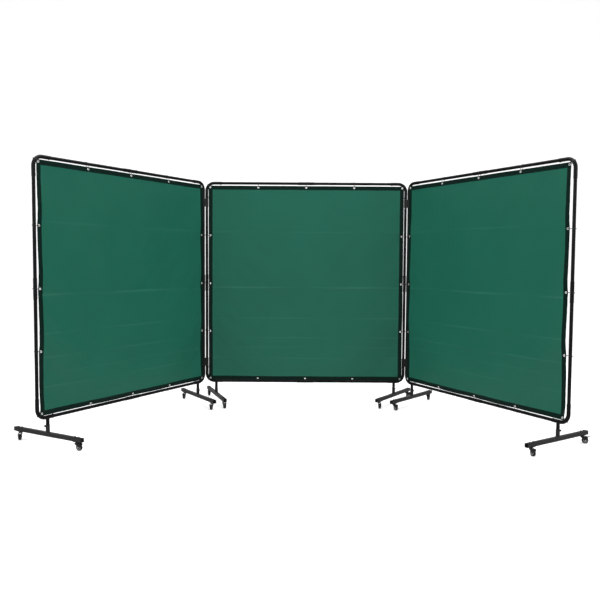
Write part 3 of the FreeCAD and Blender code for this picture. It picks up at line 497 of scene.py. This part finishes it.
def make_curtain(panel, matrix):
    """The hemmed sheet with its eyelet holes, front and back, joined round its edges."""
    width, height, *_ = CURTAINS[panel]
    surface, crease_highlight_strength, creases = curtain_surface(panel)
    us, vs = sheet_lines(width), sheet_lines(height, creases)
    grid = surface(us, vs)
    along_u, along_v = np.gradient(grid, axis=1), np.gradient(grid, axis=0)
    normal = np.cross(along_u, along_v)
    normal /= np.linalg.norm(normal, axis=2)[:, :, None]
    from_side = np.minimum(np.array(us), width - np.array(us))
    from_end = np.minimum(np.array(vs), height - np.array(vs))
    inset = np.minimum(from_end[:, None], from_side[None, :])
    hem_thickness = np.where(inset < 0.5, HEM_THICKNESS * 0.5, HEM_THICKNESS)
    half = np.where(inset > HEM_WIDTH, SHEET_THICKNESS, hem_thickness) / 2
    rows, columns = len(vs), len(us)
    front = grid + normal * half[:, :, None]
    back = grid - normal * half[:, :, None]
    points = np.concatenate([front.reshape(-1, 3), back.reshape(-1, 3)]) * MM
    spots_u, spots_v = ([EYELET_INSET + (length - 2 * EYELET_INSET) * q / 4 for q in range(5)]
                        for length in (width, height))

    def is_hole(i, k):
        u, v = (us[k] + us[k + 1]) / 2, (vs[i] + vs[i + 1]) / 2
        near_u = [q for q, s in enumerate(spots_u) if abs(u - s) < 1]
        near_v = [q for q, s in enumerate(spots_v) if abs(v - s) < 1]
        return bool(near_u and near_v and (near_u[0] in (0, 4) or near_v[0] in (0, 4)))

    open_cells = {(i, k) for i in range(rows - 1) for k in range(columns - 1) if is_hole(i, k)}
    faces, slots, places = [], [], []
    back_start = rows * columns
    for i in range(rows - 1):
        for k in range(columns - 1):
            if (i, k) in open_cells:
                continue
            a, d = i * columns + k, (i + 1) * columns + k
            b, c = a + 1, d + 1
            hem = inset[i:i + 2, k:k + 2].max() < HEM_WIDTH + 1
            faces += [[a, b, c, d], [back_start + n for n in (d, c, b, a)]]
            slots += [1 if hem else 0] * 2
            for di, dk, p, q in ((-1, 0, a, b), (1, 0, c, d), (0, -1, d, a), (0, 1, b, c)):
                other = (i + di, k + dk)
                outside = not (0 <= other[0] < rows - 1 and 0 <= other[1] < columns - 1)
                if outside or other in open_cells:
                    faces.append([q, p, back_start + p, back_start + q])
                    slots.append(1)
    mesh = bpy.data.meshes.new(f"{panel}_curtain_sheet")
    mesh.from_pydata(points.tolist(), [], faces)
    mesh.materials.append(VINYL)
    mesh.materials.append(HEM)
    mesh.polygons.foreach_set("material_index", slots)
    layer = mesh.uv_layers.new(name="flat")
    flat_uv = [(us[n % back_start % columns] / width, vs[n % back_start // columns] / height)
               for n in range(2 * back_start)]
    layer.data.foreach_set("uv", [x for loop in mesh.loops for x in flat_uv[loop.vertex_index]])
    # Painted highlight mask along the folds, read by the vinyl's crease attribute node.
    crease_highlight_layer = mesh.attributes.new("crease", "FLOAT", "POINT")
    crease_highlight_layer.data.foreach_set("value", np.tile(crease_highlight_strength(us, vs).ravel(), 2))
    edit = bmesh.new()
    edit.from_mesh(mesh)
    bmesh.ops.delete(edit, geom=[v for v in edit.verts if not v.link_faces], context="VERTS")
    edit.to_mesh(mesh)
    edit.free()
    tidy_mesh(mesh, 50)
    sheet = place(f"{panel}_curtain_sheet", mesh, matrix, f"{panel}_panel", "curtain_vinyl",
                  f"{panel}_curtain")
    return sheet, surface, spots_u, spots_v


def make_stitches(panel, matrix, surface):
    """A row of thread round the hem, seen on both faces of the curtain."""
    width, height, *_ = CURTAINS[panel]
    line, pitch, length, thick = HEM_WIDTH - 4, 9.0, 6.6, 0.42
    shape = Shape()
    rows = []
    for across in (line, width - line):
        count = int((height - 2 * line) / pitch)
        vs = [line + (height - 2 * line) * (k + 0.5) / count for k in range(count)]
        rows.append((surface([across], vs)[:, 0], Vector((0, 0, 1))))
    for up in (line, height - line):
        count = int((width - 2 * line) / pitch)
        us = [line + (width - 2 * line) * (k + 0.5) / count for k in range(count)]
        rows.append((surface(us, [up])[0], Vector((1, 0, 0))))
    section = [(math.cos(math.pi * k / 2), math.sin(math.pi * k / 2)) for k in range(4)]
    for centres, along in rows:
        side = along.cross(Vector((0, 1, 0)))
        for centre in centres:
            for face in (-1, 1):
                middle = Vector(centre) + Vector((0, face * HEM_THICKNESS / 2, 0))
                points, faces = [], []
                for station, size in ((-0.5, 0.25), (-0.3, 1), (0.3, 1), (0.5, 0.25)):
                    points += [middle + along * length * station + side * a * thick * size
                               + Vector((0, b * thick * size, 0)) for a, b in section]
                for i in range(3):
                    faces += [[i * 4 + k, i * 4 + (k + 1) % 4, i * 4 + 4 + (k + 1) % 4, i * 4 + 4 + k]
                              for k in range(4)]
                shape.add((points, faces), THREAD)
    return place(f"{panel}_stitches", shape.mesh(f"{panel}_stitches", 60), matrix, f"{panel}_panel",
                 "curtain_vinyl")


EYELET = [(5.0, -0.8), (5.0, -1.25), (5.5, -1.7), (6.4, -1.85), (7.6, -1.55), (8.35, -0.95), (8.5, -0.7),
          (5.5, -0.66), (5.5, 0.66), (8.5, 0.7), (8.4, 0.95), (7.4, 1.3), (5.7, 1.35), (5.0, 1.0)]


def eyelet_spots(surface, spots_u, spots_v):
    """Each eyelet's row, column and middle."""
    grid = surface(spots_u, spots_v)
    return [(i, k, Vector(grid[i, k])) for i in range(5) for k in range(5)
            if i in (0, 4) or k in (0, 4)]


def make_eyelets(panel, matrix, spots):
    shape = Shape()
    ring = lathe(EYELET, 28)
    for _, _, middle in spots:
        shape.add(ring, NICKEL, turn_to((0, 1, 0), middle))
    return place(f"{panel}_eyelets", shape.mesh(f"{panel}_eyelets", 50), matrix, f"{panel}_panel",
                 "grommet_metal", f"{panel}_grommets")


def tie_path(radius, edge, hole):
    """Closed line round a tube, over the hem's edge and back through the eyelet.

    Section axes: X runs from the tube's axis towards the eyelet and Y to the front.
    """
    half = 0.6
    wrap = radius + half + 0.15
    front, back = FORWARD + 2.6, FORWARD - 2.3
    turn = (front - back) / 2
    last = hole + EYELET_BORE / 2 - 1.4 - turn
    over, under = Vector((edge - 0.6, front)), Vector((last, back))

    def touch(point, side):
        return math.atan2(point.y, point.x) + side * math.acos(wrap / point.length)

    leave, arrive = touch(over, 1), touch(under, -1)
    path = [over + (Vector((last, front)) - over) * t for t in (0, 0.35, 0.7)]
    path += [Vector((last + turn * math.sin(a), (front + back) / 2 + turn * math.cos(a)))
             for a in (math.pi * k / 8 for k in range(9))]
    start, end = arrive, leave - 2 * math.pi
    path += [wrap * Vector((math.cos(a), math.sin(a)))
             for a in (start + (end - start) * k / 22 for k in range(23))]
    return path


def half_frame_width():
    """From a frame's middle to the axis of its side tubes (mm)."""
    left, right = (Vector(JOINTS[f"{side}_clip_swing"]["pos_m"]) for side in ("left", "right"))
    return (right - left).length / 2 / MM


def make_ties(panel, matrix, spots):
    """Nylon ties with their heads behind the tubes."""
    shape = Shape()
    half_frame = half_frame_width()
    middle_height = RAIL_HEIGHT + half_frame
    past_bend = (math.sqrt(2) - 1) * BEND_RADIUS
    band = [(-1.8, -0.45), (-1.5, -0.6), (1.5, -0.6), (1.8, -0.45),
            (1.8, 0.45), (1.5, 0.6), (-1.5, 0.6), (-1.8, 0.45)]
    forward = Vector((0, -1, 0))
    head_angle = 0.5
    for i, k, spot in spots:
        row, column = i - 2, k - 2
        corner = abs(row) == 2 and abs(column) == 2
        outward = Vector((column if abs(column) == 2 else 0, 0, row if abs(row) == 2 else 0)).normalized()
        local = Vector((spot.x, 0, spot.z - middle_height))
        if corner:
            reach = half_frame * math.sqrt(2) - past_bend
            along = Vector((-outward.z, 0, outward.x))
            base = outward * reach + along * local.dot(along)
        else:
            along = Vector((outward.z, 0, -outward.x))
            base = outward * half_frame + along * local.dot(along)
        hole = (base - local).dot(outward)
        radius = SLEEVE_RADIUS if corner or 0 in (row, column) else TUBE_RADIUS
        edge = hole - EYELET_INSET * (math.sqrt(2) if corner else 1)
        frame_of_tie = Matrix((-outward, forward, (-outward).cross(forward))).transposed().to_4x4()
        frame_of_tie.translation = Vector((base.x, 0, base.z + middle_height))
        flat = tie_path(radius, edge, hole)
        path = [Vector((p.x, p.y, 0)) for p in flat]
        tangents = [(path[(n + 1) % len(path)] - path[n - 1]).normalized() for n in range(len(path))]
        wide = [Vector((0, 0, 1))] * len(path)
        out = [t.cross(Vector((0, 0, 1))) for t in tangents]
        shape.add(sweep(path, band, wide, out), NYLON, frame_of_tie)
        towards = Vector((-math.cos(head_angle), -math.sin(head_angle), 0))
        back = turn_to(towards, towards * (radius + 0.9))
        shape.add(block((-2.9, -2.4, 0), (2.9, 2.4, 4.0), 0.5), NYLON, frame_of_tie @ back)
        shape.add(block((-1.9, -7.5, 1.2), (1.9, -2.2, 2.4), 0.3, 1), NYLON, frame_of_tie @ back)
    return place(f"{panel}_cable_ties", shape.mesh(f"{panel}_cable_ties"), matrix, f"{panel}_panel",
                 "tie_plastic", f"{panel}_ties")


def make_post_welds(panel, matrix):
    """Weld beads where the two posts meet the bottom rail."""
    shape = Shape()
    half_frame = half_frame_width()
    ring = [(math.cos(2 * math.pi * k / 8), math.sin(2 * math.pi * k / 8)) for k in range(8)]
    count = 72
    for side in (-1, 1):
        x = side * (half_frame - POST_INSET)
        path, normals, binormals = [], [], []
        for k in range(count):
            angle = 2 * math.pi * k / count
            y = POST_RADIUS * math.sin(angle)
            z = RAIL_HEIGHT - math.sqrt(SLEEVE_RADIUS ** 2 - y ** 2)
            size = 1.5 + 0.25 * math.sin(angle * 14)
            path.append(Vector((x + POST_RADIUS * math.cos(angle), y, z)))
            normals.append(Vector((math.cos(angle), math.sin(angle), 0)) * size)
            binormals.append(Vector((0, 0, 1)) * size)
        shape.add(sweep(path, ring, normals, binormals), WELD)
    return place(f"{panel}_post_welds", shape.mesh(f"{panel}_post_welds", 60), matrix, f"{panel}_panel",
                 "frame_paint")


# ---------------------------------------------------------------- foot and casters

BEAM, BEAM_LOW, BEAM_TOP, BEAM_END = 15.0, 62.0, 92.0, 347.0
STEM_REACH, BOLT_REACH = 295.0, 18.0
CLAMP_HEIGHT = 132.5
CROWN_TOP, WALL = 53.0, 2.5


def foot_details():
    """Caps, clamp screw, caster tops, bolts, nuts and weld beads of one foot."""
    shape = Shape()
    square = [(-BEAM, -BEAM), (BEAM, -BEAM), (BEAM, BEAM), (-BEAM, BEAM)]
    for side in (-1, 1):
        end = Matrix.Translation((side * BEAM_END, 0, (BEAM_LOW + BEAM_TOP) / 2)) @ turn_to((side, 0, 0))
        shape.add(extrude(rounded(square, 3.2), 0, 3, 0.9, 3), CAP_PLASTIC, end)
        inner = [(x * 0.62, y * 0.62) for x, y in square]
        shape.add(extrude(rounded(inner, 4), 2.8, 3.0, 0.1, 1), CAP_PLASTIC, end)

    screw = turn_to((1, 0, 0), (0, 0, CLAMP_HEIGHT))
    shape.add(lathe(thread_profile(4, 15, 24, 1.25), 20, closed=False), BLACK_ZINC, screw)

    def lobes(angle, radius):
        return -0.55 * (1 - math.cos(8 * angle)) / 2 if radius > 5 else 0

    knob = [(3.0, 22.6), (5.2, 22.8), (6.6, 23.6), (7.5, 25), (7.5, 30.4), (6.9, 31.8), (5, 32.5),
            (0.5, 32.5)]
    shape.add(lathe(knob, 48, closed=False, wobble=lobes), CAP_PLASTIC, screw)

    for stem in (-STEM_REACH, STEM_REACH):
        middle = Matrix.Translation((stem, 0, 0))
        plate = rounded([(-29, -BEAM), (29, -BEAM), (29, BEAM), (-29, BEAM)], 5)
        shape.add(extrude(plate, BEAM_LOW - WALL, BEAM_LOW, 0.5), FORK_STEEL, middle)
        race = [(3, CROWN_TOP + 0.3), (9.6, CROWN_TOP + 0.3), (11.4, CROWN_TOP + 1.2), (12, CROWN_TOP + 2.6),
                (11.4, CROWN_TOP + 3.6), (11.9, CROWN_TOP + 4.6), (13, CROWN_TOP + 6.4), (3, CROWN_TOP + 6.4)]
        shape.add(lathe(race, 36), BLACK_ZINC, middle)
        pin = [(0.4, CROWN_TOP - 4.2), (4.6, CROWN_TOP - 4.2), (6.1, CROWN_TOP - 3.5), (6.4, CROWN_TOP - 2.8),
               (4, CROWN_TOP - 2.8), (4, CROWN_TOP + 5), (0.4, CROWN_TOP + 5)]
        shape.add(lathe(pin, 24), BLACK_ZINC, middle)
        for bolt in (-BOLT_REACH, BOLT_REACH):
            spot = Matrix.Translation((stem + bolt, 0, 0))
            shape.add(extrude(hexagon(10), BEAM_LOW - WALL - 3.2, BEAM_LOW - WALL, 0.4), BLACK_ZINC, spot)
            washer = [(3.2, BEAM_TOP), (6.1, BEAM_TOP), (6.1, BEAM_TOP + 0.9), (3.2, BEAM_TOP + 0.9)]
            shape.add(lathe(washer, 28), BLACK_ZINC, spot)
            shape.add(extrude(hexagon(9.9), BEAM_TOP + 0.9, BEAM_TOP + 5.4, 0.5), BLACK_ZINC,
                      spot @ Matrix.Rotation(0.4 + bolt, 4, "Z"))
            thread = thread_profile(3, BEAM_TOP + 5, BEAM_TOP + 7.6, 1) + [(0.3, BEAM_TOP + 8)]
            shape.add(lathe(thread, 20, closed=False), BLACK_ZINC, spot)

    ring = [(math.cos(2 * math.pi * k / 8), math.sin(2 * math.pi * k / 8)) for k in range(8)]
    path, normals, binormals = [], [], []
    for k in range(96):
        angle = 2 * math.pi * k / 96
        size = 1.6 + 0.3 * math.sin(angle * 18)
        radius = 14.6 if abs(math.sin(angle)) < 0.9 else 14.2
        path.append(Vector((radius * math.cos(angle), radius * math.sin(angle), BEAM_TOP + 0.4)))
        normals.append(Vector((math.cos(angle), math.sin(angle), 0)) * size * 0.8)
        binormals.append(Vector((0, 0, 1)) * size)
    shape.add(sweep(path, ring, normals, binormals), WELD)
    return shape.mesh("foot_details")


TRAIL, AXLE_HEIGHT = 21.0, 24.0
FORK_INSIDE, FORK_WALL = 10.5, 2.0
PIVOT_X, PIVOT_Z = TRAIL + 15.5, AXLE_HEIGHT + 25


def fork_shape():
    """Stamped fork with its axle bolt and nut."""
    shape = Shape()
    outline = [(-12.5, CROWN_TOP), (-12.5, CROWN_TOP - 4), (TRAIL - 9, AXLE_HEIGHT + 3),
               (TRAIL - 6, AXLE_HEIGHT - 6), (TRAIL, AXLE_HEIGHT - 8.5),
               (TRAIL + 6, AXLE_HEIGHT - 6), (TRAIL + 9, AXLE_HEIGHT),
               (PIVOT_X + 4, PIVOT_Z - 4), (PIVOT_X + 4, PIVOT_Z + 2), (PIVOT_X + 2, CROWN_TOP)]
    leg = extrude(rounded(outline, 5), 0, FORK_WALL, 0.55)
    for side in (-1, 1):
        start = FORK_INSIDE if side > 0 else -FORK_INSIDE - FORK_WALL
        stand = Matrix.Translation((0, start + FORK_WALL, 0)) @ Matrix.Rotation(math.pi / 2, 4, "X")
        shape.add(leg, FORK_STEEL, stand)
    front = [(-13 * math.cos(a), 12.5 * math.sin(a))
             for a in (math.pi * k / 16 - math.pi / 2 for k in range(17))]
    crown = [(17, -12.4)] + front + [(17, 12.4)]
    shape.add(extrude(crown, CROWN_TOP - WALL, CROWN_TOP, 0.6), FORK_STEEL)
    collar = [(4.4, CROWN_TOP - 0.2), (9.0, CROWN_TOP - 0.2), (8.6, CROWN_TOP + 0.2), (4.4, CROWN_TOP + 0.2)]
    shape.add(lathe(collar, 32), FORK_STEEL)
    axle = turn_to((0, 1, 0), (TRAIL, 0, AXLE_HEIGHT))
    outside = FORK_INSIDE + FORK_WALL
    bolt = [(0.3, -outside - 4), (3, -outside - 3.6), (3, outside + 0.5), (0.3, outside + 0.5)]
    shape.add(lathe(bolt, 20), BRIGHT_ZINC, axle)
    shape.add(extrude(hexagon(10), outside, outside + 3.4, 0.5), BRIGHT_ZINC, axle)
    shape.add(extrude(hexagon(10), -outside - 3, -outside, 0.5), BRIGHT_ZINC, axle)
    return shape.mesh("caster_fork")


def wheel_shape():
    """Tyre with rounded shoulders on a ribbed hub."""
    shape = Shape()
    axle = turn_to((0, 1, 0), (TRAIL, 0, AXLE_HEIGHT))
    tyre = [(16.3, -7.5), (16.8, -8.4), (18, -8.8), (20.6, -9), (22.3, -8.3), (23.4, -6.8), (23.85, -4.6),
            (24, -2), (24, 2), (23.85, 4.6), (23.4, 6.8), (22.3, 8.3), (20.6, 9), (18, 8.8),
            (16.8, 8.4), (16.3, 7.5)]
    shape.add(lathe(tyre, 64), RUBBER, axle)
    hub = [(3.05, -10), (6.2, -10), (6.7, -9.5), (7.4, -4), (13, -3), (14.2, -4), (14.6, -7.5), (16.25, -7.6),
           (16.25, 7.6), (14.6, 7.5), (14.2, 4), (13, 3), (7.4, 4), (6.7, 9.5), (6.2, 10), (3.05, 10)]
    shape.add(lathe(hub, 48), HUB_PLASTIC, axle)
    for k in range(6):
        spoke = axle @ Matrix.Rotation(math.pi * k / 3, 4, "Z")
        shape.add(block((6.6, -0.8, -6.6), (14.6, 0.8, 6.6), 0.3, 1), HUB_PLASTIC, spoke)
    return shape.mesh("caster_wheel")


def pedal_shape():
    """Brake pedal: a bent tread plate with ribs, on a barrel and pin."""
    shape = Shape()
    x, z = PIVOT_X, PIVOT_Z
    outline = [(x - 1, z + 2), (x + 4, z + 2), (x + 13, z + 4), (x + 22, z + 6.5), (x + 26, z + 5.5),
               (x + 26.4, z + 7.5), (x + 22, z + 8.6), (x + 13, z + 6), (x + 4, z + 4), (x - 1, z + 4)]
    stand = Matrix.Translation((0, 8.5, 0)) @ Matrix.Rotation(math.pi / 2, 4, "X")
    shape.add(extrude(outline, 0, 17, 0.5), BRIGHT_ZINC, stand)
    for step in (15, 17.5, 20, 22.5):
        height = z + 6 + (step - 13) * 0.29
        rib = block((x + step - 0.5, -6.5, height - 0.3), (x + step + 0.5, 6.5, height + 0.45), 0.25, 1)
        shape.add(rib, BRIGHT_ZINC)
    pivot = turn_to((0, 1, 0), (x, 0, z))
    barrel = [(2.05, -8.5), (3.7, -8.5), (4, -8.1), (4, 8.1), (3.7, 8.5), (2.05, 8.5)]
    shape.add(lathe(barrel, 24), BRIGHT_ZINC, pivot)
    pin = [(0.3, -12.9), (1.6, -12.9), (2, -12.5), (2, 12.5), (1.6, 12.9), (0.3, 12.9)]
    shape.add(lathe(pin, 18), BRIGHT_ZINC, pivot)
    return shape.mesh("brake_pedal")


# ---------------------------------------------------------------- build


def build_panels():
    for panel in PANELS:
        matrix = panel_matrix(panel)
        sheet, surface, spots_u, spots_v = make_curtain(panel, matrix)
        stitches = make_stitches(panel, matrix, surface)
        spots = eyelet_spots(surface, spots_u, spots_v)
        eyelets = make_eyelets(panel, matrix, spots)
        ties = make_ties(panel, matrix, spots)
        make_post_welds(panel, matrix)
        dress(f"{panel}_elbows", POWDER)
        dress(f"{panel}_tubes", POWDER)


def dress(node, surface):
    """Give a CAD node its material."""
    target = frame["nodes"][node]
    if not target.material_slots:
        target.data.materials.append(surface)
    for slot in target.material_slots:
        slot.material = surface


def build_feet():
    details, fork, wheel, pedal = foot_details(), fork_shape(), wheel_shape(), pedal_shape()
    for foot in FEET:
        dress(f"{foot}_foot", LIT_FOOT_POWDER)
        place(f"{foot}_details", details, foot_matrix(foot), f"{foot}_foot", "foot_fittings_metal",
              f"{foot}_foot_fittings")
        for end in ("near", "far"):
            matrix = caster_matrix(foot, end)
            place(f"{foot}_{end}_caster_fork", fork, matrix, f"{foot}_{end}_fork", "fork_steel",
                  f"{foot}_{end}_fork")
            place(f"{foot}_{end}_caster_wheel", wheel, matrix, f"{foot}_{end}_wheel", "wheel_rubber",
                  f"{foot}_{end}_wheel")
        place(f"{foot}_brake_pedal", pedal, caster_matrix(foot, "near"), f"{foot}_pedal", "pedal_steel",
              f"{foot}_pedal")


def build_clips():
    for side in ("left", "right"):
        dress(f"{side}_clips", CLIP_PLASTIC)
        edges = frame["nodes"][f"{side}_clips"].modifiers.new("soft_edges", "BEVEL")
        edges.width, edges.segments, edges.limit_method = 0.0006, 2, "ANGLE"


# ---------------------------------------------------------------- stage


def make_stage():
    """Pale floor that curves up into a backdrop behind."""
    reach, start, rise = 14.0, 7.0, 9.0
    profile = [(-16.0, 0.0)] + [(start + 3 * math.sin(a), 3 - 3 * math.cos(a))
                                for a in (math.pi / 2 * k / 12 for k in range(13))] + [(start + 3, rise)]
    points = [(x, y, z) for y, z in profile for x in (-reach, reach)]
    faces = [[2 * k, 2 * k + 1, 2 * k + 3, 2 * k + 2] for k in range(len(profile) - 1)]
    mesh = bpy.data.meshes.new("studio_floor")
    mesh.from_pydata(points, [], faces)
    mesh.polygons.foreach_set("use_smooth", [True] * len(mesh.polygons))
    pale = bpy.data.materials.new("studio_white")
    pale.use_nodes = True
    shader = pale.node_tree.nodes["Principled BSDF"]
    shader.inputs["Base Color"].default_value = (0.9, 0.9, 0.9, 1)
    shader.inputs["Roughness"].default_value = 0.9
    shader.inputs["Specular IOR Level"].default_value = 0.1
    shader.inputs["Emission Color"].default_value = (1, 1, 1, 1)
    shader.inputs["Emission Strength"].default_value = 0.42
    mesh.materials.append(pale)
    floor = bpy.data.objects.new("studio_floor", mesh)
    bpy.context.scene.collection.objects.link(floor)
    floor.visible_glossy = False


def add_light(name, place_at, target, size, power):
    data = bpy.data.lights.new(name, "AREA")
    data.shape, data.size, data.size_y = "RECTANGLE", size[0], size[1]
    data.energy = power
    light = bpy.data.objects.new(name, data)
    light.location = place_at
    light.rotation_euler = (Vector(target) - Vector(place_at)).to_track_quat("-Z", "Y").to_euler()
    bpy.context.scene.collection.objects.link(light)


def make_lights():
    add_light("overhead_soft", (0, -0.5, 5.5), (0, 0, 0), (7, 5), 330)
    add_light("left_soft", (-5.5, -4.5, 3.4), (0, 0.3, 1), (3, 3), 130)
    add_light("right_soft", (5.5, -4.5, 3.4), (0, 0.3, 1), (3, 3), 130)
    world = bpy.data.worlds.new("studio_air")
    world.use_nodes = True
    world.node_tree.nodes["Background"].inputs["Color"].default_value = (1, 1, 1, 1)
    world.node_tree.nodes["Background"].inputs["Strength"].default_value = 0.42
    bpy.context.scene.world = world
    bpy.context.scene.view_settings.view_transform = "Standard"
    bpy.context.scene.view_settings.look = "None"


def make_camera():
    """Level camera, a little above the middle, looking slightly down at the open side."""
    centre = panel_matrix("centre").translation
    data = bpy.data.cameras.new("camera")
    data.sensor_width, data.lens = 36.0, 40.467
    data.clip_end = 100
    camera = bpy.data.objects.new("camera", data)
    stand = Matrix.Translation((centre.x - 0.0526, centre.y - 6.3776, 1.3375))
    tilt, roll = math.pi / 2 - 0.0565, 0.0062
    camera.matrix_world = stand @ Matrix.Rotation(tilt, 4, "X") @ Matrix.Rotation(roll, 4, "Z")
    bpy.context.scene.collection.objects.link(camera)
    bpy.context.scene.camera = camera


make_camera()
make_stage()
make_lights()
build_panels()
build_feet()
build_clips()
